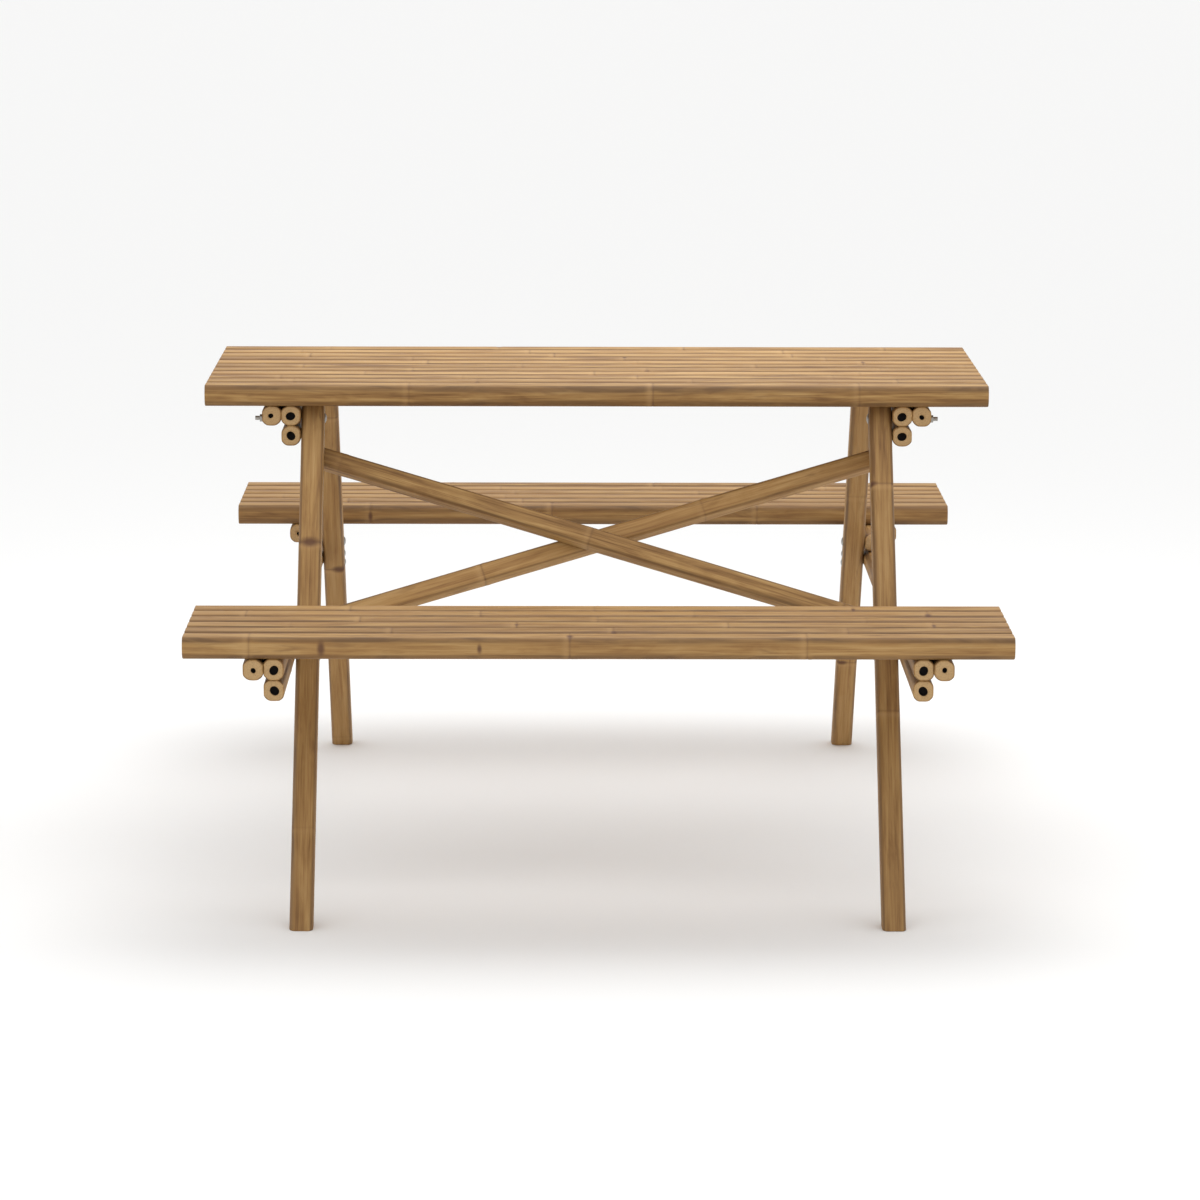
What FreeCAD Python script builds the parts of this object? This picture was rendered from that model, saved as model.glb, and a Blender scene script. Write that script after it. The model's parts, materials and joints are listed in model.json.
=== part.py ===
"""Folding picnic table of planed bamboo poles.

A slatted top on doubled end rails, two slatted benches, and two pairs of raked legs.
Each leg pair swings inwards on bolts through the top rails, and each bench swings up on
bolts through the legs, until its slats lie near the legs' faces. The front legs carry a
crossed pair of braces. Millimetres, +Z up, origin on the floor under the table's middle,
X along the slats and -Y towards the front bench.
"""
import FreeCAD, Part
import os
from math import asin, atan2, cos, degrees, hypot, sin

SIZES = {
    # slats
    "slat_length": 1200.0, "slat_wide": 41.4, "slat_high": 33.0, "slat_pitch": 42.9,
    "slat_corner": 7.0, "slat_bore": 5.0, "top_slats": 11, "bench_slats": 6,
    # heights and places
    "table_height": 750.0, "bench_height": 450.0, "bench_middle": 578.0,
    "leg_middle": 436.0, "foot_reach": 632.0, "pivot_reach": 195.0, "pivot_drop": 56.0,
    # poles
    "leg_wide": 35.0, "leg_deep": 34.0, "leg_corner": 7.5, "leg_bore": 7.0,
    "rail_wide": 29.5, "rail_high": 31.0, "rail_corner": 7.0, "rail_bore": 6.5,
    "batten_bore": 3.6, "bore_depth": 22.0,
    "top_rail_length": 450.0, "bench_batten_length": 250.0,
    "bench_rail_reach": 700.0, "bracket_reach": 696.0, "bracket_tail": 190.0,
    "brace_wide": 32.0, "brace_deep": 30.0, "brace_corner": 7.0, "brace_over": 12.0,
    "front_brace_upper": 50.0, "front_brace_lower": 331.0,
    "back_brace_upper": 40.0, "back_brace_lower": 318.0,
    # clearances
    "leg_gap": 0.7, "pole_gap": 0.5, "running_gap": 0.08,
    # fasteners
    "bolt_radius": 3.2, "bolt_head_radius": 8.0, "bolt_head_high": 2.8, "bolt_proud": 12.0,
    "bolt_nut_radius": 5.8, "small_bolt_radius": 2.6, "small_bolt_head_radius": 6.5,
    "small_bolt_head_high": 2.2, "small_bolt_nut_radius": 4.8, "nut_high": 5.0,
    "bolt_end": 2.0, "bracket_bolt_spread": 8.5, "brace_bolt_bite": 24.0,
    "screw_radius": 2.0, "screw_head_radius": 4.0, "screw_head_high": 3.2,
    "screw_bite": 22.0,
}

doc = FreeCAD.newDocument("folding_picnic_table")
sheet = doc.addObject("Spreadsheet::Sheet", "sizes")
for row, (alias, value) in enumerate(SIZES.items(), start=1):
    sheet.set(f"A{row}", alias)
    sheet.set(f"B{row}", str(value))
    sheet.setAlias(f"B{row}", alias)
doc.recompute()

Vector = FreeCAD.Vector
Rotation = FreeCAD.Rotation
Placement = FreeCAD.Placement
ALONG_X, ALONG_Y, ALONG_Z = Vector(1, 0, 0), Vector(0, 1, 0), Vector(0, 0, 1)
nodes = {}


def size(alias):
    """A driving dimension, read from the sheet."""
    return float(sheet.get(alias))


def bind(item, **expressions):
    """Bind properties of a feature to cells of the sheet."""
    for name, expression in expressions.items():
        item.setExpression(name.replace("_dot_", "."), expression)


def finish(item, label, place):
    """Name a finished sub-part and put it in its place."""
    item.Label = label
    item.Placement = place
    nodes[label] = item
    return item


# ---- features that the sub-parts share ------------------------------------------------

def rod(name, radius, length, start, direction):
    """A round rod from a start point; radius and length are sheet expressions."""
    item = doc.addObject("Part::Cylinder", name)
    bind(item, Radius=radius, Height=length)
    item.Placement = Placement(start, Rotation(ALONG_Z, direction))
    return item


def joined(name, items):
    """One tool out of several."""
    if len(items) == 1:
        return items[0]
    item = doc.addObject("Part::MultiFuse", name)
    item.Shapes = items
    return item


def long_edges(box):
    """Numbers of the four edges of a box that run along its length."""
    numbers = []
    for number, edge in enumerate(box.Shape.Edges, start=1):
        run = edge.lastVertex().Point - edge.firstVertex().Point
        if abs(run.x) > max(abs(run.y), abs(run.z)):
            numbers.append(number)
    return numbers


def blank(name, length, wide, high, corner):
    """A planed pole along local X, centred, with its four long edges rounded."""
    box = doc.addObject("Part::Box", name + "_blank")
    bind(box, Length=length, Width=wide, Height=high)
    bind(box, Placement_dot_Base_dot_x=f"-({length}) / 2",
         Placement_dot_Base_dot_y=f"-({wide}) / 2", Placement_dot_Base_dot_z=f"-({high}) / 2")
    box.recompute()
    rounded = doc.addObject("Part::Fillet", name + "_rounded")
    rounded.Base = box
    rounded.Edges = [(number, size(corner), size(corner)) for number in long_edges(box)]
    return rounded


def end_bore(name, bore, mouth, inward):
    """The blind bore that the hollow pole shows at a cut end."""
    return rod(name, bore, "sizes.bore_depth", mouth, inward)


def end_bores(name, half_length, bore):
    """The bores of both cut ends of a centred pole."""
    return [end_bore(name + "_bore_a", bore, Vector(-half_length, 0, 0), ALONG_X),
            end_bore(name + "_bore_b", bore, Vector(half_length, 0, 0), -ALONG_X)]


def pole(label, length, wide, high, corner, tools, place):
    """A finished pole: the rounded blank less its bores and holes."""
    item = doc.addObject("Part::Cut", label)
    item.Base = blank(label, length, wide, high, corner)
    item.Tool = joined(label + "_tools", tools)
    return finish(item, label, place)


def domed_head(name, kind, start, direction):
    """A coach bolt's head: a spherical cap whose flat underside is at start."""
    radius, high = size(kind + "_head_radius"), size(kind + "_head_high")
    ball = (radius ** 2 + high ** 2) / (2 * high)
    item = doc.addObject("Part::Sphere", name)
    bind(item, Radius=f"(sizes.{kind}_head_radius ^ 2 + sizes.{kind}_head_high ^ 2)"
                      f" / (2 * sizes.{kind}_head_high)")
    item.Angle1 = degrees(asin(1 - high / ball))
    item.Placement = Placement(start + direction * (ball - high), Rotation(ALONG_Z, -direction))
    return item


def bolt(name, kind, start, direction, length):
    """A bolt whose head's underside is at start and whose shank runs along direction."""
    shank = rod(name + "_shank", f"sizes.{kind}_radius", f"{length}", start, direction)
    return joined(name, [shank, domed_head(name + "_head", kind, start, direction)])


def nut(name, kind, start, direction):
    """A hexagonal nut, bored to its bolt's radius, that starts at start."""
    blank_nut = doc.addObject("Part::Prism", name + "_blank")
    blank_nut.Polygon = 6
    bind(blank_nut, Circumradius=f"sizes.{kind}_nut_radius", Height="sizes.nut_high")
    blank_nut.Placement = Placement(start, Rotation(ALONG_Z, direction))
    item = doc.addObject("Part::Cut", name)
    item.Base = blank_nut
    item.Tool = rod(name + "_bore", f"sizes.{kind}_radius", "sizes.nut_high", start, direction)
    return item


def screw(name, head_at, length):
    """A countersunk screw driven upwards: a flat head, and a shank above it."""
    head = rod(name + "_head", "sizes.screw_head_radius", "sizes.screw_head_high",
               head_at, ALONG_Z)
    shank = rod(name + "_shank", "sizes.screw_radius", f"{length}", head_at, ALONG_Z)
    return joined(name, [head, shank])


def group(label, items, place=Placement()):
    """Like fasteners kept together as separate solids of one sub-part."""
    item = doc.addObject("Part::Compound", label)
    item.Links = items
    return finish(item, label, place)


# ---- places worked out from the driving dimensions ------------------------------------

half_slat = size("slat_length") / 2
top_under = size("table_height") - size("slat_high")
bench_under = size("bench_height") - size("slat_high")
rail_high, rail_wide = size("rail_high"), size("rail_wide")

pivot_y = -size("pivot_reach")
pivot_z = size("table_height") - size("pivot_drop")
lean = atan2(size("foot_reach") - size("pivot_reach"), pivot_z)
leg_up = Vector(0, sin(lean), cos(lean))
leg_inner = Vector(0, cos(lean), -sin(lean))
leg_length = hypot(size("foot_reach") - size("pivot_reach"), pivot_z)


def leg_point(z):
    """Y of the front legs' centre line at a height."""
    return pivot_y - (pivot_z - z) * sin(lean) / cos(lean)


rail_x = size("leg_middle") + size("leg_wide") / 2 + size("leg_gap") + rail_wide / 2
batten_x = rail_x + rail_wide
top_rail_z = top_under - rail_high / 2
lower_rail_z = top_rail_z - rail_high
bench_rail_z = bench_under - rail_high / 2
bracket_z = bench_rail_z - rail_high - size("pole_gap")
bench_pivot_y = leg_point(bench_rail_z)

FRONT = Placement()
REAR = Placement(Vector(0, 0, 0), Rotation(ALONG_Z, 180))
ENDS = (("left", -1), ("right", 1))
ACROSS = Rotation(ALONG_Z, 90)


def slat_rows(count):
    """Offsets of the slats' centre lines from the middle of their board."""
    return [(row - (count - 1) / 2) * size("slat_pitch") for row in range(count)]


# ---- slats ----------------------------------------------------------------------------

def slat(label, y, z, place):
    """One slat, with its end bores and the holes that its screws are driven into."""
    tools = end_bores(label, half_slat, "sizes.slat_bore")
    for number, x in enumerate((-batten_x, -rail_x, rail_x, batten_x)):
        start = Vector(x, 0, -size("slat_high") / 2)
        tools.append(rod(f"{label}_hole_{number}", "sizes.screw_radius",
                         "sizes.screw_bite", start, ALONG_Z))
    return pole(label, "sizes.slat_length", "sizes.slat_wide", "sizes.slat_high",
                "slat_corner", tools, place * Placement(Vector(0, y, z), Rotation()))


top_rows = slat_rows(int(size("top_slats")))
bench_rows = slat_rows(int(size("bench_slats")))
for number, offset in enumerate(top_rows, start=1):
    slat(f"top_slat_{number:02d}", offset, top_under + size("slat_high") / 2, FRONT)
for side, place in (("front", FRONT), ("rear", REAR)):
    for number, offset in enumerate(bench_rows, start=1):
        slat(f"{side}_bench_slat_{number}", offset - size("bench_middle"),
             bench_under + size("slat_high") / 2, place)


# ---- battens and rails under the slats ------------------------------------------------

def screw_holes(label, rows, middle):
    """Counterbored holes, through a rail that runs across the slats."""
    tools = []
    for number, offset in enumerate(rows):
        start = Vector(offset - middle, 0, -rail_high / 2)
        tools.append(rod(f"{label}_head_{number}", "sizes.screw_head_radius",
                         "sizes.screw_head_high", start, ALONG_Z))
        tools.append(rod(f"{label}_shank_{number}", "sizes.screw_radius",
                         "sizes.rail_high", start, ALONG_Z))
    return tools


def rail(label, length, bore, tools, centre, place=FRONT):
    """A pole that runs across the slats."""
    half = size(length) / 2 if isinstance(length, str) else length / 2
    text = f"sizes.{length}" if isinstance(length, str) else f"{length}"
    return pole(label, text, "sizes.rail_wide", "sizes.rail_high", "rail_corner",
                end_bores(label, half, bore) + tools, place * Placement(centre, ACROSS))


def cross_hole(name, y, z, radius="sizes.bolt_radius"):
    """A hole through a rail's width, for a bolt along the table's X."""
    start = Vector(y, -size("rail_wide"), z)
    return rod(name, radius, "2 * sizes.rail_wide", start, ALONG_Y)


pivot_from_rail = pivot_z - top_rail_z
clamp_rows = (-2.5 * size("slat_pitch"), 2.5 * size("slat_pitch"))
for end, sign in ENDS:
    for kind, x, bore in (("batten", batten_x, "sizes.batten_bore"),
                          ("rail", rail_x, "sizes.rail_bore")):
        label = f"top_{kind}_{end}"
        tools = screw_holes(label, top_rows, 0)
        for name, reach in (("a", -pivot_y), ("b", pivot_y)):
            tools.append(cross_hole(f"{label}_pivot_{name}", reach, pivot_from_rail))
        if kind == "rail":
            for number, offset in enumerate(clamp_rows):
                start = Vector(offset, 0, -rail_high / 2)
                tools.append(rod(f"{label}_clamp_{number}", "sizes.screw_radius",
                                 "sizes.screw_bite", start, ALONG_Z))
        rail(label, "top_rail_length", bore, tools, Vector(sign * x, 0, top_rail_z))
    label = f"top_lower_rail_{end}"
    rail(label, "top_rail_length", "sizes.rail_bore", screw_holes(label, clamp_rows, 0),
         Vector(sign * rail_x, 0, lower_rail_z))

batten_y = -size("bench_middle")
bench_rail_length = size("bench_rail_reach") + bench_pivot_y
bench_rail_y = -(size("bench_rail_reach") - bench_pivot_y) / 2
bracket_length = size("bracket_reach") - size("bracket_tail")
bracket_y = -(size("bracket_reach") + size("bracket_tail")) / 2
bracket_bolt_z = (bracket_z + size("bracket_bolt_spread"),
                  bracket_z - size("bracket_bolt_spread"))


def bench_rail(label, x, place):
    """A bench's rail; its inner end is rounded about the bolt that it swings on."""
    holes = screw_holes(label, bench_rows, size("bench_middle") + bench_rail_y)
    straight = blank(label, f"{bench_rail_length}", "sizes.rail_wide", "sizes.rail_high",
                     "rail_corner")
    eye_at = Vector(bench_rail_length / 2, -rail_wide / 2, 0)
    eye = rod(label + "_eye", "sizes.rail_high / 2", "sizes.rail_wide", eye_at, ALONG_Y)
    item = doc.addObject("Part::Cut", label)
    item.Base = joined(label + "_whole", [straight, eye])
    bore = rod(label + "_bore", "sizes.rail_bore", "sizes.bore_depth",
               Vector(-bench_rail_length / 2, 0, 0), ALONG_X)
    pivot = cross_hole(label + "_pivot", bench_rail_length / 2, 0)
    item.Tool = joined(label + "_tools", holes + [bore, pivot])
    return finish(item, label, place * Placement(Vector(x, bench_rail_y, bench_rail_z), ACROSS))


for side, place in (("front", FRONT), ("rear", REAR)):
    for end, sign in ENDS:
        x = sign * place.Rotation.multVec(ALONG_X).x
        batten = f"{side}_bench_batten_{end}"
        rail(batten, "bench_batten_length", "sizes.batten_bore",
             screw_holes(batten, bench_rows, 0),
             Vector(x * batten_x, batten_y, bench_rail_z), place)
        bench_rail(f"{side}_bench_rail_{end}", x * rail_x, place)
        bracket = f"{side}_bench_bracket_{end}"
        holes = [cross_hole(f"{bracket}_bolt_{n}", leg_point(z) - bracket_y, z - bracket_z,
                            "sizes.small_bolt_radius") for n, z in enumerate(bracket_bolt_z)]
        rail(bracket, bracket_length, "sizes.rail_bore", holes,
             Vector(x * rail_x, bracket_y, bracket_z), place)


# ---- legs -----------------------------------------------------------------------------

leg_over = (top_under - size("pole_gap") - pivot_z
            - size("leg_deep") / 2 * sin(lean)) / cos(lean)
foot_spare = size("leg_deep")
leg_full = leg_length + foot_spare + leg_over
leg_centre = leg_full / 2 - leg_over
leg_frame = Placement(FreeCAD.Matrix(leg_up.x, 1, leg_inner.x, 0,
                                     leg_up.y, 0, leg_inner.y, 0,
                                     leg_up.z, 0, leg_inner.z, 0, 0, 0, 0, 1)).Rotation
BRACES = {"front": {"rising": -1, "upper": size("front_brace_upper"),
                    "lower": size("front_brace_lower")},
          "back": {"rising": 1, "upper": size("back_brace_upper"),
                   "lower": size("back_brace_lower")}}


def along_leg(z):
    """Local X, on a leg, of the point of its centre line at a height."""
    return leg_centre - (pivot_z - z) / cos(lean)


def leg(label, x, place, brace_drops):
    """A raked leg: square at its top, and cut level where it stands on the floor."""
    tools = [end_bore(label + "_bore", "sizes.leg_bore", Vector(leg_full / 2, 0, 0), -ALONG_X)]
    running = "sizes.bolt_radius + sizes.running_gap"
    bolts = [(pivot_z, running), (bench_rail_z, running)]
    bolts += [(z, "sizes.small_bolt_radius") for z in bracket_bolt_z]
    for number, (z, radius) in enumerate(bolts):
        start = Vector(along_leg(z), -size("leg_wide"), 0)
        tools.append(rod(f"{label}_bolt_{number}", radius, "2 * sizes.leg_wide",
                         start, ALONG_Y))
    for number, drop in enumerate(brace_drops):
        start = Vector(leg_centre - drop, 0, size("leg_deep") / 2 - size("brace_bolt_bite"))
        tools.append(rod(f"{label}_brace_{number}", "sizes.small_bolt_radius",
                         "sizes.leg_deep", start, ALONG_Z))
    floor = doc.addObject("Part::Box", label + "_floor_cut")
    bind(floor, Length="4 * sizes.leg_deep", Width="2 * sizes.leg_wide",
         Height="4 * sizes.leg_deep")
    foot = Vector(leg_centre - leg_length, 0, 0)
    turn = Rotation(ALONG_Y, degrees(lean))
    corner = Vector(-4 * size("leg_deep"), -size("leg_wide"), -2 * size("leg_deep"))
    floor.Placement = Placement(foot + turn.multVec(corner), turn)
    tools.append(floor)
    centre = Vector(x, pivot_y, pivot_z) - leg_up * leg_centre
    return pole(label, f"{leg_full}", "sizes.leg_wide", "sizes.leg_deep", "leg_corner",
                tools, place * Placement(centre, leg_frame))


for side, place in (("front", FRONT), ("rear", REAR)):
    for end, sign in ENDS:
        x = sign * place.Rotation.multVec(ALONG_X).x
        drops = [way["upper" if way["rising"] == sign else "lower"]
                 for way in BRACES.values() if side == "front"]
        leg(f"{side}_leg_{end}", x * size("leg_middle"), place, drops)


# ---- crossed braces behind the front legs ---------------------------------------------

brace_first = size("leg_deep") / 2 + size("pole_gap") + size("brace_deep") / 2
brace_second = brace_first + size("brace_deep") + size("pole_gap")


front_fall = BRACES["front"]["lower"] - BRACES["front"]["upper"]
back_fall = BRACES["back"]["lower"] - BRACES["back"]["upper"]
middle_gap = (sum(BRACES["back"][end] - BRACES["front"][end] for end in ("upper", "lower"))) / 2
crossing_share = middle_gap / (front_fall + back_fall)
crossing_x = 2 * size("leg_middle") * crossing_share
crossing_drop = ((BRACES["front"]["upper"] + BRACES["front"]["lower"]) / 2
                 + front_fall * crossing_share)


def on_leg_plane(x, drop, out):
    """A point so far down the front legs from their pivot, and so far behind them."""
    return Vector(x, pivot_y, pivot_z) - leg_up * drop + leg_inner * out


def brace(label, way, out):
    """A diagonal brace between the two front legs, with bolt holes at ends and middle."""
    high = on_leg_plane(way["rising"] * size("leg_middle"), way["upper"], out)
    low = on_leg_plane(-way["rising"] * size("leg_middle"), way["lower"], out)
    run = high - low
    along = Vector(run).normalize()
    side = leg_inner.cross(along)
    turn = Placement(FreeCAD.Matrix(along.x, side.x, leg_inner.x, 0,
                                    along.y, side.y, leg_inner.y, 0,
                                    along.z, side.z, leg_inner.z, 0, 0, 0, 0, 1)).Rotation
    length = run.Length + 2 * size("brace_over")
    tools = end_bores(label, length / 2, "sizes.slat_bore")
    crossing_at = way["rising"] * crossing_share * run.Length
    for number, at in enumerate((-run.Length / 2, crossing_at, run.Length / 2)):
        tools.append(rod(f"{label}_hole_{number}", "sizes.small_bolt_radius",
                         "2 * sizes.brace_deep", Vector(at, 0, -size("brace_deep")), ALONG_Z))
    return pole(label, f"{length}", "sizes.brace_wide", "sizes.brace_deep", "brace_corner",
                tools, Placement((high + low) / 2, turn))


brace("brace_front", BRACES["front"], brace_first)
brace("brace_back", BRACES["back"], brace_second)

spacers = []
for name, x in (("upper", 1), ("lower", -1)):
    start = on_leg_plane(x * size("leg_middle"), BRACES["back"][name], size("leg_deep") / 2)
    ring = doc.addObject("Part::Cut", f"spacer_{name}")
    long = "sizes.brace_deep + 2 * sizes.pole_gap"
    ring.Base = rod(f"spacer_{name}_blank", "sizes.rail_wide / 2", long, start, leg_inner)
    ring.Tool = rod(f"spacer_{name}_bore", "sizes.small_bolt_radius", long, start, leg_inner)
    spacers.append(ring)
group("brace_spacers", spacers)


# ---- bolts, nuts and screws -----------------------------------------------------------

pivot_bolts, pivot_nuts = [], []
head_x = size("leg_middle") - size("leg_wide") / 2 - size("pole_gap")
batten_face = batten_x + rail_wide / 2
for end, sign in ENDS:
    out = ALONG_X * sign
    for name, y in (("front", pivot_y), ("rear", -pivot_y)):
        start = Vector(sign * head_x, y, pivot_z)
        pivot_bolts.append(bolt(f"leg_pivot_bolt_{name}_{end}", "bolt", start, out,
                                batten_face - head_x + size("bolt_proud")))
        pivot_nuts.append(nut(f"leg_pivot_nut_{name}_{end}", "bolt",
                              Vector(sign * batten_face, y, pivot_z), out))
group("leg_pivot_bolts", pivot_bolts)
group("leg_pivot_nuts", pivot_nuts)

rail_face = rail_x + rail_wide / 2
for side, place in (("front", FRONT), ("rear", REAR)):
    swing, fixed = [], []
    for end, sign in ENDS:
        out = ALONG_X * sign
        name = f"{side}_bench_pivot_{end}"
        reach = rail_face - head_x + size("nut_high") + size("bolt_end")
        swing.append(bolt(name, "bolt", Vector(sign * head_x, bench_pivot_y, bench_rail_z),
                          out, reach))
        swing.append(nut(name + "_nut", "bolt",
                         Vector(sign * rail_face, bench_pivot_y, bench_rail_z), out))
        leg_face = size("leg_middle") - size("leg_wide") / 2
        for number, z in enumerate(bracket_bolt_z):
            name = f"{side}_bracket_{end}_{number}"
            reach = rail_face - leg_face + size("nut_high") + size("bolt_end")
            fixed.append(bolt(name, "small_bolt", Vector(sign * leg_face, leg_point(z), z),
                              out, reach))
            fixed.append(nut(name + "_nut", "small_bolt",
                             Vector(sign * rail_face, leg_point(z), z), out))
    group(f"{side}_bench_pivot_bolts", swing, place)
    group(f"{side}_bracket_bolts", fixed, place)

brace_bolts = []
for name, out in (("front", brace_first), ("back", brace_second)):
    way = BRACES[name]
    back = out + size("brace_deep") / 2
    length = back - size("leg_deep") / 2 + size("brace_bolt_bite")
    for end, x in (("upper", way["rising"]), ("lower", -way["rising"])):
        start = on_leg_plane(x * size("leg_middle"), way[end], back)
        brace_bolts.append(bolt(f"brace_bolt_{name}_{end}", "small_bolt", start,
                                -leg_inner, length))
crossing_from = on_leg_plane(crossing_x, crossing_drop, brace_second + size("brace_deep") / 2)
crossing_length = brace_second - brace_first + size("brace_deep") / 2
brace_bolts.append(bolt("brace_bolt_crossing", "small_bolt", crossing_from, -leg_inner,
                        crossing_length))
group("brace_bolts", brace_bolts)


def slat_screws(label, rows, y, underside, place, extra=()):
    """The screws that hold a board's slats down on its battens and rails."""
    items = list(extra)
    for row, offset in enumerate(rows):
        for number, x in enumerate((-batten_x, -rail_x, rail_x, batten_x)):
            items.append(screw(f"{label}_{row}_{number}",
                               Vector(x, y + offset, underside - rail_high),
                               rail_high + size("screw_bite")))
    return group(label, items, place)


clamps = []
for number, (x, offset) in enumerate((x, y) for x in (-rail_x, rail_x) for y in clamp_rows):
    clamps.append(screw(f"clamp_screw_{number}",
                        Vector(x, offset, lower_rail_z - rail_high / 2),
                        rail_high + size("screw_bite")))
slat_screws("top_slat_screws", top_rows, 0, top_under, FRONT, clamps)
for side, place in (("front", FRONT), ("rear", REAR)):
    slat_screws(f"{side}_bench_slat_screws", bench_rows, -size("bench_middle"),
                bench_under, place)


# ---- check and write ------------------------------------------------------------------

doc.recompute()
faulty = [item.Name for item in doc.Objects
          if "Invalid" in item.State or "Error" in item.State]
faulty += [label for label, item in nodes.items()
           if item.Shape.isNull() or not item.Shape.isValid()]
if faulty:
    raise SystemExit(f"failed features: {faulty}")

os.makedirs("parts", exist_ok=True)
for label, item in nodes.items():
    item.Shape.exportStep(f"parts/{label}.step")
print(len(nodes), "sub-parts; lean", round(degrees(lean), 2), "degrees; bench pivot y",
      round(bench_pivot_y, 2), "z", bench_rail_z)
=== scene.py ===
import itertools
import json
import math

import bpy
import numpy as np
from mathutils import Matrix, Vector


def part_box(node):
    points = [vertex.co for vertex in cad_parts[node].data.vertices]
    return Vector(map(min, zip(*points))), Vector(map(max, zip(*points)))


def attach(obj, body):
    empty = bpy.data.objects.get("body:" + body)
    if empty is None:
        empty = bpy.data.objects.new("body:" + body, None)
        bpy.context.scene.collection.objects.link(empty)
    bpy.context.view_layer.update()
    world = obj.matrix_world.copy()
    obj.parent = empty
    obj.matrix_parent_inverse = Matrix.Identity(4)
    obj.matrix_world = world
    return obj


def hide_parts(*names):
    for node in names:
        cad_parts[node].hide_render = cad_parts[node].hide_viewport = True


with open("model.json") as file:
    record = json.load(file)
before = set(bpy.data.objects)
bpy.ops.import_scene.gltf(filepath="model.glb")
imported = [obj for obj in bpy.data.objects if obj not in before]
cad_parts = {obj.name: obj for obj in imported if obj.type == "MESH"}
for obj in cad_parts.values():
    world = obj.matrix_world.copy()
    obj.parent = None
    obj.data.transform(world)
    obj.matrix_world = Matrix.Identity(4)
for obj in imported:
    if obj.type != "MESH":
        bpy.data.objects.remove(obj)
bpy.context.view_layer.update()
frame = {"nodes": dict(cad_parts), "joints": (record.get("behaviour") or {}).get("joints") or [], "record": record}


# ---- Camera, daylight and floor --------------------------------------------------------
# The table stands on a plain pale studio floor. A long lens looks along it from just above
# eye height, and a wide soft light hangs over it, so the slats' tops are the brightest.

camera_height = 1.7004
camera_back = 7.055
camera_aside = -0.0557
camera_pitch = 0.1860
camera_yaw = 0.00897
camera_roll = 0.00289

lens = bpy.data.cameras.new("studio_camera")
lens.sensor_width = 36.0
lens.lens = 135.0
lens.clip_end = 60.0
camera = bpy.data.objects.new("studio_camera", lens)
bpy.context.scene.collection.objects.link(camera)
forward = Vector((math.sin(camera_yaw) * math.cos(camera_pitch),
                  math.cos(camera_yaw) * math.cos(camera_pitch),
                  -math.sin(camera_pitch)))
level = Vector((math.cos(camera_yaw), -math.sin(camera_yaw), 0.0))
above = level.cross(forward)
right = math.cos(camera_roll) * level + math.sin(camera_roll) * above
up = math.cos(camera_roll) * above - math.sin(camera_roll) * level
camera.matrix_world = Matrix((
    (right.x, up.x, -forward.x, camera_aside),
    (right.y, up.y, -forward.y, -camera_back),
    (right.z, up.z, -forward.z, camera_height),
    (0.0, 0.0, 0.0, 1.0)))
bpy.context.scene.camera = camera
bpy.context.scene.view_settings.view_transform = "Standard"


def soft_light(name, size, energy, place, aim):
    """A square soft box at a place, turned to face the point it is aimed at."""
    data = bpy.data.lights.new(name, "AREA")
    data.size = size
    data.energy = energy
    light = bpy.data.objects.new(name, data)
    light.location = place
    light.rotation_mode = "QUATERNION"
    light.rotation_quaternion = (Vector(aim) - Vector(place)).to_track_quat("-Z", "Y")
    bpy.context.scene.collection.objects.link(light)


soft_light("overhead", 1.8, 22.0, (0.15, 0.25, 2.25), (0.0, 0.0, 0.4))

sky = bpy.data.worlds.new("studio_air")
sky.use_nodes = True
sky.node_tree.nodes["Background"].inputs["Color"].default_value = (1.0, 1.0, 1.0, 1.0)
sky.node_tree.nodes["Background"].inputs["Strength"].default_value = 1.0
bpy.context.scene.world = sky

floor_reach = 40.0
floor_mesh = bpy.data.meshes.new("studio_floor")
floor_mesh.from_pydata([(-floor_reach, -floor_reach, 0.0), (floor_reach, -floor_reach, 0.0),
                        (floor_reach, floor_reach, 0.0), (-floor_reach, floor_reach, 0.0)],
                       [], [(0, 1, 2, 3)])
floor_finish = bpy.data.materials.new("studio_floor")
floor_finish.use_nodes = True
floor_shader = floor_finish.node_tree.nodes["Principled BSDF"]
floor_shader.inputs["Base Color"].default_value = (0.93, 0.93, 0.925, 1.0)
floor_shader.inputs["Roughness"].default_value = 0.9
floor_mesh.materials.append(floor_finish)
floor = bpy.data.objects.new("studio_floor", floor_mesh)
bpy.context.scene.collection.objects.link(floor)


# ---- Bamboo: the slats of the top ------------------------------------------------------
# Eleven culms of oiled bamboo, planed on four sides so that flats meet in round unplaned
# edges, with a shallow ring at each joint of the cane. They are screwed down from below.

class Maths:
    """A shader socket that Python's operators work on, each adding one Math node."""

    def __init__(self, tree, socket):
        self.tree, self.socket = tree, socket

    def operate(self, operation, first, second):
        node = self.tree.nodes.new("ShaderNodeMath")
        node.operation = operation
        for place, value in enumerate((first, second)):
            if isinstance(value, Maths):
                self.tree.links.new(value.socket, node.inputs[place])
            else:
                node.inputs[place].default_value = value
        return Maths(self.tree, node.outputs[0])

    def __add__(self, other):
        return self.operate("ADD", self, other)

    def __radd__(self, other):
        return self.operate("ADD", other, self)

    def __sub__(self, other):
        return self.operate("SUBTRACT", self, other)

    def __rsub__(self, other):
        return self.operate("SUBTRACT", other, self)

    def __mul__(self, other):
        return self.operate("MULTIPLY", self, other)

    def __rmul__(self, other):
        return self.operate("MULTIPLY", other, self)


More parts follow.
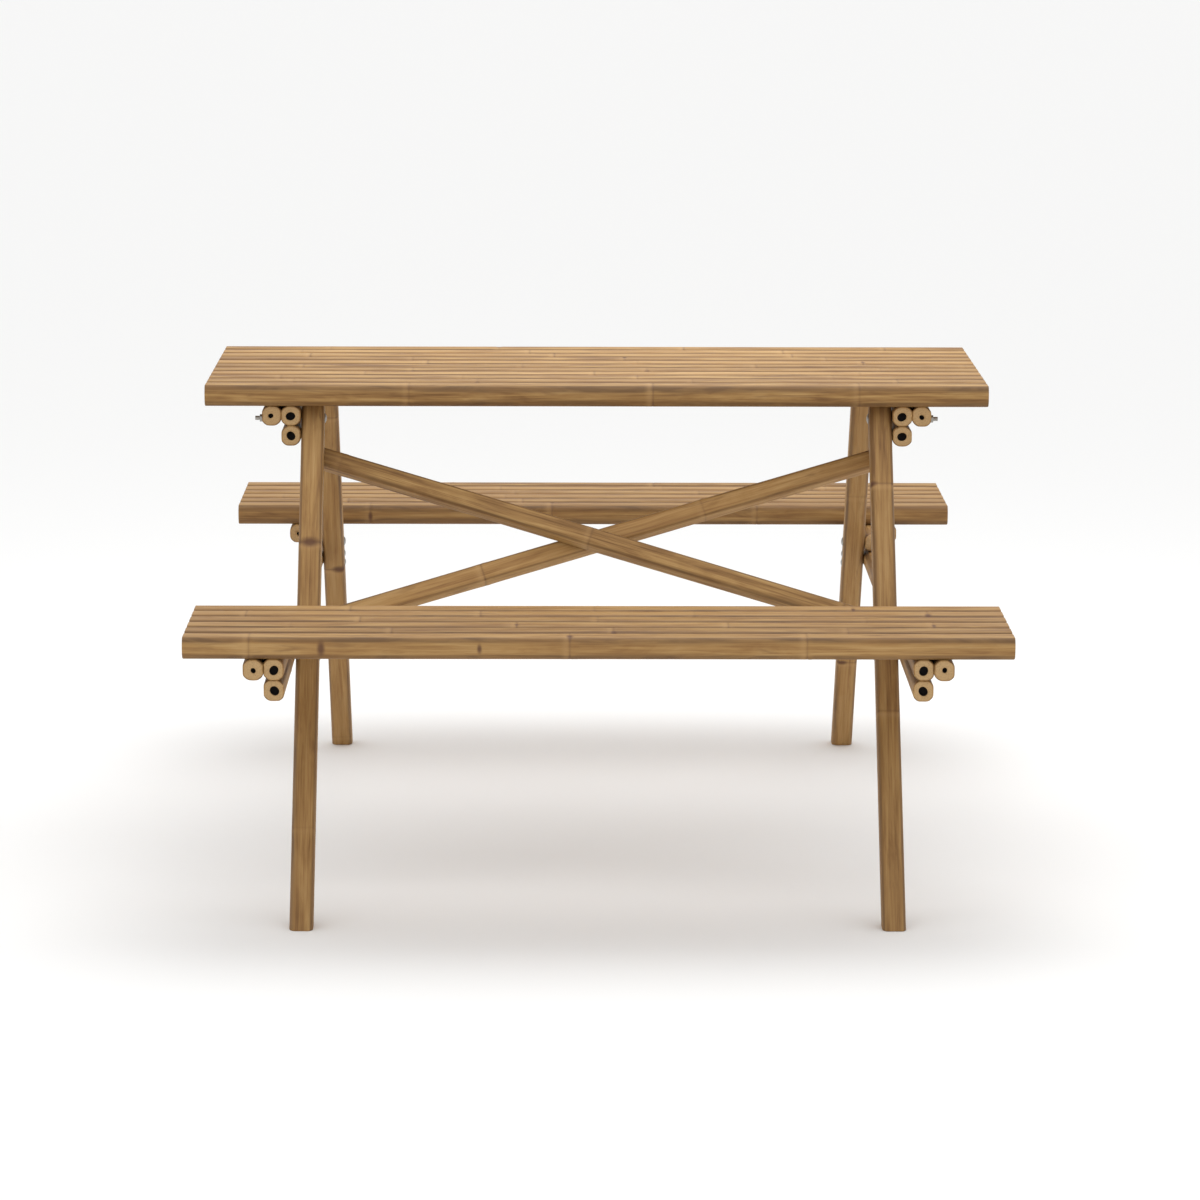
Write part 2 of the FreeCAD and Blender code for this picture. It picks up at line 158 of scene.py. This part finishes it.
class Finish:
    """A node material under construction."""

    def __init__(self, name):
        self.material = bpy.data.materials.new(name)
        self.material.use_nodes = True
        self.tree = self.material.node_tree
        self.shader = self.tree.nodes["Principled BSDF"]

    def node(self, kind, settings=None, values=None, output=0):
        """Add a node: its settings are set first, then its sockets' values or links."""
        item = self.tree.nodes.new(kind)
        for name, value in (settings or {}).items():
            if name == "stops":
                ramp = item.color_ramp
                while len(ramp.elements) < len(value):
                    ramp.elements.new(0.5)
                for element, (position, colour) in zip(ramp.elements, value):
                    element.position = position
                    element.color = (*colour, 1.0)
            else:
                setattr(item, name, value)
        for name, value in (values or {}).items():
            if isinstance(value, Maths):
                self.tree.links.new(value.socket, item.inputs[name])
            else:
                item.inputs[name].default_value = value
        return Maths(self.tree, item.outputs[output])

    def mix(self, factor, first, second):
        """Mix two colours, given as sockets or as red, green and blue."""
        item = self.tree.nodes.new("ShaderNodeMix")
        item.data_type = "RGBA"
        for place, value in ((0, factor), (6, first), (7, second)):
            if isinstance(value, Maths):
                self.tree.links.new(value.socket, item.inputs[place])
            elif place == 0:
                item.inputs[place].default_value = value
            else:
                item.inputs[place].default_value = (*value, 1.0)
        return Maths(self.tree, item.outputs[2])

    def between(self, value, low, high):
        """Nought below low, one above high, and a straight ramp between."""
        return self.node("ShaderNodeMapRange", {"clamp": True},
                         {"Value": value, "From Min": low, "From Max": high})

    def feed(self, **sockets):
        """Link or set the shader's own sockets; an underscore in a name is a space."""
        for name, value in sockets.items():
            socket = self.shader.inputs[name.replace("_", " ")]
            if isinstance(value, Maths):
                self.tree.links.new(value.socket, socket)
            else:
                socket.default_value = value


def oiled_bamboo():
    """Cane colour: long fibres, darker unplaned skin, rings, scars, pale sawn ends and painted shade.

    The grain lies in a UV map whose u runs along the pole and v around it, in metres. The
    marks are attributes of the mesh: a pole's tone and painted shade, its skin, rings, pale
    halos beside the rings, branch scars, sawn ends and the inside of its bores. Painted shade
    darkens whole poles (the legs most), darkens the skin further where it turns into the
    grooves between slats, and makes the inside of the bores almost black.
    """
    bamboo = Finish("oiled_bamboo")
    place = bamboo.node("ShaderNodeUVMap", {"uv_map": "grain"})

    def streaks(along, around, detail, distort=0.0):
        """Noise with so many features to a metre along the grain, and around it."""
        stretched = bamboo.node("ShaderNodeMapping", None,
                                {"Vector": place, "Scale": (along, around, 1.0)})
        return bamboo.node("ShaderNodeTexNoise", None,
                           {"Vector": stretched, "Scale": 1.0, "Detail": detail,
                            "Roughness": 0.6, "Distortion": distort})

    fibres = streaks(12.0, 900.0, 3.0)
    bands = streaks(5.5, 170.0, 4.0, 0.5)
    drift = streaks(6.5, 42.0, 4.0, 0.9)
    stain = streaks(9.0, 90.0, 3.0, 1.0)
    tone, age, skin, ring, halo, scar, cut, hollow = (
        bamboo.node("ShaderNodeAttribute", {"attribute_name": mark}, output=2)
        for mark in ("tone", "age", "skin", "ring", "halo", "scar", "cut", "hollow"))

    depth = fibres * 0.22 + bands * 0.40 + drift * 0.38 + (tone - 0.5) * 0.08
    cane = bamboo.node("ShaderNodeValToRGB", {"stops": (
        (0.37, (0.150, 0.068, 0.017)), (0.45, (0.282, 0.150, 0.045)),
        (0.53, (0.415, 0.243, 0.082)), (0.62, (0.545, 0.350, 0.140)))}, {"Fac": depth})
    warm = bamboo.mix(tone * 0.25, cane, (0.400, 0.190, 0.060))
    patches = bamboo.between(drift, 0.38, 0.62)
    # Painted shade: whole poles are darkened in patches. The top's slats get little, the benches' slats more and
    # the legs most, for the shade under the top.
    shade_darkened = bamboo.mix(age * (0.22 + patches * 0.22), warm, (0.215, 0.112, 0.038))
    # Partly the unplaned skin's own darker colour and partly painted shade: the rounded shoulders turn into the
    # grooves between slats, where shade falls, and are darkened in patches up to nine tenths towards dark brown.
    skin_and_groove_shade = bamboo.mix(skin * (0.34 + patches * 0.56), shade_darkened, (0.120, 0.058, 0.019))
    aged = bamboo.mix(bamboo.between(stain, 0.58, 0.72) * 0.50, skin_and_groove_shade, (0.150, 0.072, 0.026))
    paler = bamboo.mix(halo * 0.28, aged, (0.520, 0.320, 0.135))
    jointed = bamboo.mix(ring, paler, (0.130, 0.062, 0.026))
    scarred = bamboo.mix(scar, jointed, (0.095, 0.036, 0.016))

    bundles = bamboo.node("ShaderNodeTexVoronoi", {"feature": "F1"},
                          {"Vector": bamboo.node("ShaderNodeTexCoord", output=3),
                           "Scale": 900.0})
    dots = bamboo.node("ShaderNodeValToRGB", {"stops": (
        (0.16, (0.190, 0.105, 0.042)), (0.42, (0.470, 0.300, 0.135)))}, {"Fac": bundles})
    sawn = bamboo.mix(cut, scarred, dots)
    # Painted shade: inside the bores the colour goes almost black, standing in for the shadow down a deep hollow.
    colour = bamboo.mix(hollow, sawn, (0.004, 0.002, 0.001))

    height = fibres * 0.7 + bands * 0.5 - ring * 0.6 - scar * 0.5
    bump = bamboo.node("ShaderNodeBump", None,
                       {"Strength": 0.32, "Distance": 0.0006, "Height": height})
    bamboo.feed(Base_Color=colour, Roughness=0.55 - skin * 0.10 + fibres * 0.12 + hollow * 0.3,
                Normal=bump, Specular_IOR_Level=0.36)
    return bamboo.material


oiled_bamboo_finish = oiled_bamboo()


def planed_pole(name, body, node, start, end, wide_way, wide, deep, bore, seed, roundness,
                mouths=(True, True), rings=None, scars=(), age=0.5, rounded_end=0.0,
                level_foot=0.0):
    """A bamboo culm planed on four sides, as one closed surface.

    At every place along the pole and every angle around it, the radius is a soft minimum
    of the round culm's radius and the distance to the planed faces. The culm's radius is
    roundness times half of the pole's lesser thickness, with a slow wave along it and a
    swelling at each ring, so the flats narrow and widen. A ring is a groove with a low
    ridge above it, and a scar is a shallow oval pit. Both ends are eased and capped, and
    an end with a mouth opens into a bore. Rings and scars are given in metres from the
    start, and a scar's angle and size follow its place. The far end may be rounded, to the
    radius rounded_end, and the near one sheared by the slope level_foot to stand level.
    """
    chance = np.random.default_rng(seed)
    start, end = np.array(start, float), np.array(end, float)
    length = float(np.linalg.norm(end - start))
    along = (end - start) / length
    side = np.array(wide_way, float)
    side = side - along * (side @ along)
    side /= np.linalg.norm(side)
    lift = np.cross(along, side)

    # rings where the cane grew them, and a branch scar on about half of them
    spacing = chance.uniform(0.28, 0.40)
    grown = np.arange(chance.uniform(0.04, spacing), length - 0.02, spacing)
    grown = grown + chance.uniform(-0.02, 0.02, len(grown))
    rings = np.asarray(rings if rings is not None else grown, float)
    strength = chance.uniform(0.25, 1.0, len(rings))
    knots = [(ring, chance.uniform(0, 2 * np.pi), chance.uniform(0.0025, 0.0045))
             for ring in rings if chance.uniform() < 0.45]
    scars = np.array(list(scars) + knots, float).reshape(-1, 3)

    # cross-sections: even ones, and closer ones at the rings, the scars and the ends
    step, ring_step, scar_step = 0.014, 0.0018, 0.0015
    nearby = np.arange(-6, 7)
    even = np.linspace(0.0, length, max(8, int(length / step)))
    near_rings = (rings[:, None] + nearby * ring_step).ravel()
    near_scars = (scars[:, :1] + nearby * scar_step).ravel()
    ends = np.array([0.0008, 0.002, 0.004, 0.009])
    places = np.concatenate([even, near_rings, near_scars, ends, length - ends])
    places = np.unique(np.round(places[(places >= 0.0) & (places <= length)], 4))
    away = places[:, None] - rings[None, :]

    # the round culm, and the planes that cut it
    around = 44
    angle = (np.arange(around) + 0.5) / around * 2 * np.pi
    cosine, sine = np.cos(angle), np.sin(angle)
    half = min(wide, deep) / 2
    wave, swelling, swollen_length, ovalness = 0.022, 0.030, 0.011, 0.020
    culm = half * (roundness + wave * np.sin(places * chance.uniform(5, 9)
                                             + chance.uniform(0, 6)))
    culm = culm * (1 + swelling * np.exp(-(away / swollen_length) ** 2).sum(1))
    oval = 1 + ovalness * np.cos(2 * (angle - chance.uniform(0, np.pi)))
    flat_wide = wide / 2 / np.maximum(np.abs(cosine), 1e-6)
    flat_deep = deep / 2 / np.maximum(np.abs(sine), 1e-6)
    round_radius = culm[:, None] * oval[None, :]
    planed = np.minimum(flat_wide, flat_deep)[None, :] * np.ones((len(places), 1))
    sharp = 34.0
    radius = (planed ** -sharp + round_radius ** -sharp) ** (-1 / sharp)

    # rings, which planing leaves fainter than they are on the skin
    groove_wide, groove_deep = 0.0016, 0.00055
    ridge_above, ridge_wide, ridge_high = 0.0045, 0.0024, 0.00040
    skin_margin = 0.0012
    groove = (strength * np.exp(-(away / groove_wide) ** 2)).sum(1)
    ridge = np.exp(-((away - ridge_above) / ridge_wide) ** 2).sum(1)
    on_skin = np.clip((planed - round_radius) / skin_margin, 0.0, 1.0)
    radius = radius - groove_deep * groove[:, None] * (0.35 + 0.65 * on_skin)
    radius = radius + ridge_high * ridge[:, None] * on_skin

    # branch scars, wider around the pole than along it
    scar_stretch, scar_deep = 0.62, 0.0005
    turn_away = np.angle(np.exp(1j * (angle[None, :, None] - scars[None, None, :, 1])))
    from_scar = np.hypot((places[:, None, None] - scars[None, None, :, 0]),
                         turn_away * half * scar_stretch) / scars[None, None, :, 2]
    scar_mark = np.clip(1.6 - from_scar, 0.0, 1.0).sum(-1).clip(0.0, 1.0)
    radius = radius - scar_deep * scar_mark

    # eased rims
    ease = 0.0014
    from_end = np.minimum(places, length - places)
    trim = np.where(from_end < ease, ease - np.sqrt(np.maximum(
        ease ** 2 - (ease - from_end) ** 2, 0.0)), 0.0)
    radius = radius - trim[:, None]
    off_side, off_lift = chance.uniform(-0.0012, 0.0012, 2)
    levelled_length = 0.09

    def shell(section, where, shift):
        """Points of cross-sections: the pole's line, plus a shift and the radius about it."""
        across = section * cosine[None, :] + shift[:, None] * off_side
        height = section * sine[None, :] + shift[:, None] * off_lift
        run = where[:, None] * np.ones_like(across)
        if rounded_end:
            centre = length - rounded_end
            bend = np.sqrt(np.clip(1 - (height / rounded_end) ** 2, 0.02, 1))
            run = np.where(run > centre, centre + (run - centre) * bend, run)
        if level_foot:
            run = run + height * level_foot * np.clip(1 - run / levelled_length, 0.0, 1.0)
        return (start + run[..., None] * along + across[..., None] * side
                + height[..., None] * lift)

    # sawn ends and bores, whose walls are a little oval and off the middle
    wall = bore * (1 + 0.07 * np.cos(angle * 2 + chance.uniform(0, 6)))[None, :]
    bore_depth = 0.0075

    def end_loops(mouth, outer, at, inward):
        """Loops from the eased rim across the sawn end and down into the bore.

        Each is its radius, place, sawn mark, hollow mark (where the bore is painted almost
        black as shade) and share of the bore's shift.
        """
        lip = wall if mouth else wall * 0 + 0.0004
        loops = [(outer * 0.97 + lip * 0.03, at, 0.6, 0.0, 0.0),
                 (outer * 0.80 + lip * 0.20, at, 1.0, 0.0, 0.2),
                 (outer * 0.4 + lip * 0.6, at, 1.0, 0.0, 0.6), (lip * 1.06, at, 1.0, 0.0, 1.0)]
        if mouth:
            loops += [(lip, at + inward * 0.0005, 1.0, 0.1, 1.0),
                      (lip * 0.98, at + inward * 0.0018, 0.4, 0.8, 1.0),
                      (lip * 0.96, at + inward * 0.004, 0.0, 1.0, 1.0),
                      (lip * 0.93, at + inward * bore_depth, 0.0, 1.0, 1.0),
                      (lip * 0.05, at + inward * (bore_depth + 0.0004), 0.0, 1.0, 1.0)]
        return loops

    head = end_loops(mouths[0], radius[:1], 0.0, 1.0)[::-1]
    tail = end_loops(mouths[1], radius[-1:], length, -1.0)
    body_part = np.zeros(len(places))
    all_radius = np.concatenate([loop[0] for loop in head] + [radius] + [loop[0] for loop in tail])
    all_places, cut, bore_shade, shift = (
        np.concatenate([[loop[column] for loop in head], along_body,
                        [loop[column] for loop in tail]])
        for column, along_body in ((1, places), (2, body_part), (3, body_part), (4, body_part)))
    points = shell(all_radius, all_places, shift)

    # one net of quads, with a cap at the bottom of each bore or the middle of a plain end
    count = len(all_places)
    index = np.arange(count * around).reshape(count, around)
    here, turned = index, np.roll(index, -1, axis=1)
    quads = np.stack([here[:-1], turned[:-1], turned[1:], here[1:]], axis=-1).reshape(-1, 4)
    mesh = bpy.data.meshes.new(name)
    faces = quads.tolist() + [index[0][::-1].tolist(), index[-1].tolist()]
    mesh.from_pydata(points.reshape(-1, 3).tolist(), [], faces)

    body_rows = slice(len(head), len(head) + len(places))
    marks = {mark: np.zeros((count, around)) for mark in ("ring", "halo", "skin", "scar")}
    marks["ring"][body_rows] = np.clip(groove[:, None] * (0.50 + 0.40 * on_skin), 0, 1)
    marks["halo"][body_rows] = (np.exp(-((away + 0.006) / 0.005) ** 2) * strength).sum(1)[:, None]
    marks["skin"][body_rows] = on_skin
    marks["scar"][body_rows] = scar_mark * 0.85
    marks["cut"] = np.repeat(cut[:, None], around, axis=1)
    # Painted shade: the hollow mark is where the inside of a bore is coloured almost black.
    marks["hollow"] = np.repeat(bore_shade[:, None], around, axis=1)
    marks["tone"] = np.full((count, around), chance.uniform(0.0, 1.0))
    # Painted shade for the whole pole, with a little chance in it.
    marks["age"] = np.full((count, around), age + chance.uniform(-0.2, 0.2))
    for mark, values in marks.items():
        layer = mesh.attributes.new(mark, "FLOAT", "POINT")
        layer.data.foreach_set("value", values.ravel().astype(np.float32))

    # the grain's map, which closes at the seam and starts elsewhere on every pole
    next_along, next_around = 3.71, 1.37
    corner = np.empty(len(mesh.loops), np.int32)
    mesh.loops.foreach_get("vertex_index", corner)
    turn = angle[corner % around]
    seam = np.zeros(len(corner), bool)
    quad_corners = corner[:len(quads) * 4].reshape(-1, 4)
    wraps = (quad_corners % around == around - 1).any(1) & (quad_corners % around == 0).any(1)
    seam[:len(quads) * 4] = (wraps[:, None] & (quad_corners % around == 0)).ravel()
    turn = turn + seam * 2 * np.pi
    grain = np.stack([all_places[corner // around] + seed * next_along,
                      turn * half + seed * next_around], axis=1)
    uv = mesh.uv_layers.new(name="grain")
    uv.data.foreach_set("uv", grain.astype(np.float32).ravel())
    mesh.polygons.foreach_set("use_smooth", np.ones(len(mesh.polygons), bool))
    mesh.materials.append(oiled_bamboo_finish)
    mesh.update()

    pole = bpy.data.objects.new(name, mesh)
    bpy.context.scene.collection.objects.link(pole)
    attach(pole, body)
    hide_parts(node)
    return pole


pole_seeds = itertools.count(1)


def level_pole(node, body, axis, bore, roundness, **shape):
    """Put a planed pole in the box of a node that lies along the table's X or Y."""
    low, high = (np.array(corner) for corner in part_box(node))
    middle, size = (low + high) / 2, high - low
    start, end = middle.copy(), middle.copy()
    start[axis], end[axis] = low[axis], high[axis]
    if shape.pop("flip", False):
        start, end = end, start
    across = 1 - axis
    way = np.eye(3)[across]
    planed_pole(node + "_cane", body, node, start, end, way, size[across], size[2], bore,
                next(pole_seeds), roundness, **shape)


bodies = frame["record"]["behaviour"]["bodies"]
slat_bore = 0.0052
slat_roundness = 1.31
for node in sorted(n for n in bodies["top"] if n.startswith("top_slat_") and n[-1].isdigit()):
    # The top's slats get little painted shade.
    level_pole(node, "top", 0, slat_bore, slat_roundness, age=0.2)


# ---- Rails and battens under the top ---------------------------------------------------
# At each end two poles lie side by side under the slats: an outer batten, from a thick-
# walled cane with a narrow bore, and a rail that the legs are bolted to. A lower rail
# doubles it. All are sawn square, so their bores show at the front and rear.

rail_bore = 0.0068
batten_bore = 0.0038
rail_roundness = 1.13
for end in ("left", "right"):
    level_pole(f"top_batten_{end}", "top", 1, batten_bore, rail_roundness)
    level_pole(f"top_rail_{end}", "top", 1, rail_bore, rail_roundness)
    level_pole(f"top_lower_rail_{end}", "top", 1, rail_bore, rail_roundness)


# ---- The two benches -------------------------------------------------------------------
# Each seat is six slats screwed to a batten and a rail at each end. A rail's inner end is
# rounded about the bolt that the bench swings up on, and it rests on the leg's bracket.

outer_face = math.pi
edge_marks = {"front_bench_slat_1": {"rings": (0.096, 0.558, 0.900),
                                     "scars": ((0.200, outer_face, 0.0045),
                                               (0.428, outer_face, 0.0028))}}
for side in ("front", "rear"):
    body = f"{side}_bench"
    for node in sorted(n for n in bodies[body] if "_slat_" in n and n[-1].isdigit()):
        # The benches' slats get more painted shade than the top's.
        level_pole(node, body, 0, slat_bore, slat_roundness, age=0.7,
                   **edge_marks.get(node, {}))
    for end in ("left", "right"):
        level_pole(f"{body}_batten_{end}", body, 1, batten_bore, rail_roundness)
        low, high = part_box(f"{body}_rail_{end}")
        level_pole(f"{body}_rail_{end}", body, 1, rail_bore, rail_roundness,
                   mouths=(True, False), rounded_end=(high.z - low.z) / 2,
                   flip=side == "rear")


# ---- Legs and brackets -----------------------------------------------------------------
# The raked legs are the stoutest canes. Each is sawn square at the top, where it bears
# against the slats, and level at the foot. A bracket pole is bolted to each leg's outer
# face, and the bench's rail comes down on it.

hinge = {joint["name"]: Vector(joint["pos_m"]) for joint in frame["joints"]}
leg_wide = 0.035
leg_deep = 0.034
leg_over_pivot = 0.0159
leg_roundness = 1.24
facing_front = 1.5 * math.pi
leg_marks = {
    "front_leg_left": {"rings": (0.150, 0.607), "scars": ((0.607, facing_front, 0.0065),)},
    "front_leg_right": {"rings": (0.335, 0.705)},
    "rear_leg_left": {"rings": (0.022, 0.425, 0.760),
                      "scars": ((0.425, facing_front + 0.5, 0.0060),)},
    "rear_leg_right": {"rings": (0.210, 0.590)}}
for side in ("front", "rear"):
    top = hinge[f"{side}_leg_fold"]
    knee = hinge[f"{side}_bench_fold"]
    rake = (top - knee).normalized()
    for end in ("left", "right"):
        node = f"{side}_leg_{end}"
        low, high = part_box(node)
        x = (low.x + high.x) / 2
        crown = Vector((x, top.y, top.z)) + rake * leg_over_pivot
        foot = Vector((x, top.y, top.z)) - rake * (top.z / rake.z)
        rise = math.copysign(math.tan(math.acos(rake.z)), rake.y)
        # The legs get the most painted shade.
        planed_pole(node + "_cane", f"{side}_legs", node, foot, crown, (1.0, 0.0, 0.0),
                    leg_wide, leg_deep, rail_bore, next(pole_seeds), leg_roundness,
                    mouths=(False, False), level_foot=rise, age=0.9, **leg_marks[node])
        level_pole(f"{side}_bench_bracket_{end}", f"{side}_legs", 1, rail_bore, rail_roundness)


# ---- Crossed braces --------------------------------------------------------------------
# Two slimmer canes cross behind the front legs and stop the table racking. The back one
# stands off on spacers sawn from cane, and one bolt ties the pair where they cross.

def pole_ends(node):
    """The middles of a slanted CAD pole's two sawn ends.

    The pole's line is first the longest principal axis of its points. Then, three times
    over, it runs through the means of the points nearest to either end.
    """
    points = np.empty(len(frame["nodes"][node].data.vertices) * 3, np.float32)
    frame["nodes"][node].data.vertices.foreach_get("co", points)
    points = np.unique(np.round(points.reshape(-1, 3).astype(float), 5), axis=0)
    middle = points.mean(0)
    along = np.linalg.svd(points - middle, full_matrices=False)[2][0]
    end_slice = 0.0015
    for _ in range(3):
        run = (points - middle) @ along
        near = points[run < run.min() + end_slice].mean(0)
        far = points[run > run.max() - end_slice].mean(0)
        along = (far - near) / np.linalg.norm(far - near)
        middle = (near + far) / 2
    return near, far


leg_normal = np.cross((1.0, 0.0, 0.0), np.array(hinge["front_leg_fold"] - hinge["front_bench_fold"]))
leg_normal /= np.linalg.norm(leg_normal)
brace_wide = 0.030
brace_deep = 0.029
for node in ("brace_front", "brace_back"):
    near, far = pole_ends(node)
    planed_pole(node + "_cane", "front_legs", node, near, far,
                np.cross(leg_normal, far - near), brace_wide, brace_deep, slat_bore,
                next(pole_seeds), leg_roundness)


# ---- Bolts, nuts, screws and spacers ---------------------------------------------------
# Zinc-plated coach bolts, their nuts and wood screws, dulled by weather, and the two
# short cane spacers. They keep the shapes that they are turned and forged to.

def weathered_zinc():
    """Grey plating: faint crystal blotches, with brown bloom in patches."""
    zinc = Finish("weathered_zinc")
    place = zinc.node("ShaderNodeTexCoord", output=3)
    cloud = zinc.node("ShaderNodeTexNoise", None,
                      {"Vector": place, "Scale": 160.0, "Detail": 4.0, "Roughness": 0.6})
    bloom = zinc.node("ShaderNodeTexNoise", None,
                      {"Vector": place, "Scale": 55.0, "Detail": 5.0, "Roughness": 0.7})
    rust = zinc.between(bloom, 0.55, 0.70)
    plate = zinc.mix(cloud, (0.30, 0.29, 0.27), (0.52, 0.51, 0.48))
    colour = zinc.mix(rust * 0.55, plate, (0.16, 0.075, 0.035))
    bump = zinc.node("ShaderNodeBump", None,
                     {"Strength": 0.2, "Distance": 0.0003, "Height": cloud})
    zinc.feed(Base_Color=colour, Roughness=0.34 + cloud * 0.25, Metallic=1.0 - rust * 0.6,
              Normal=bump)
    return zinc.material


def cane_offcut():
    """The spacers' finish: cane like the poles', with its fibres along the short tube."""
    cane = Finish("cane_offcut")
    place = cane.node("ShaderNodeTexCoord", output=3)
    stretched = cane.node("ShaderNodeMapping", None,
                          {"Vector": place, "Scale": (700.0, 60.0, 60.0)})
    fibre = cane.node("ShaderNodeTexNoise", None,
                      {"Vector": stretched, "Scale": 1.0, "Detail": 3.0})
    colour = cane.mix(fibre, (0.26, 0.14, 0.055), (0.56, 0.36, 0.17))
    bump = cane.node("ShaderNodeBump", None,
                     {"Strength": 0.3, "Distance": 0.0005, "Height": fibre})
    cane.feed(Base_Color=colour, Roughness=0.62 + fibre * 0.1, Normal=bump)
    return cane.material


zinc_finish = weathered_zinc()
offcut_finish = cane_offcut()
for node, item in frame["nodes"].items():
    if node.endswith(("bolts", "nuts", "screws")):
        item.data.materials.clear()
        item.data.materials.append(zinc_finish)
    elif node == "brace_spacers":
        item.data.materials.clear()
        item.data.materials.append(offcut_finish)
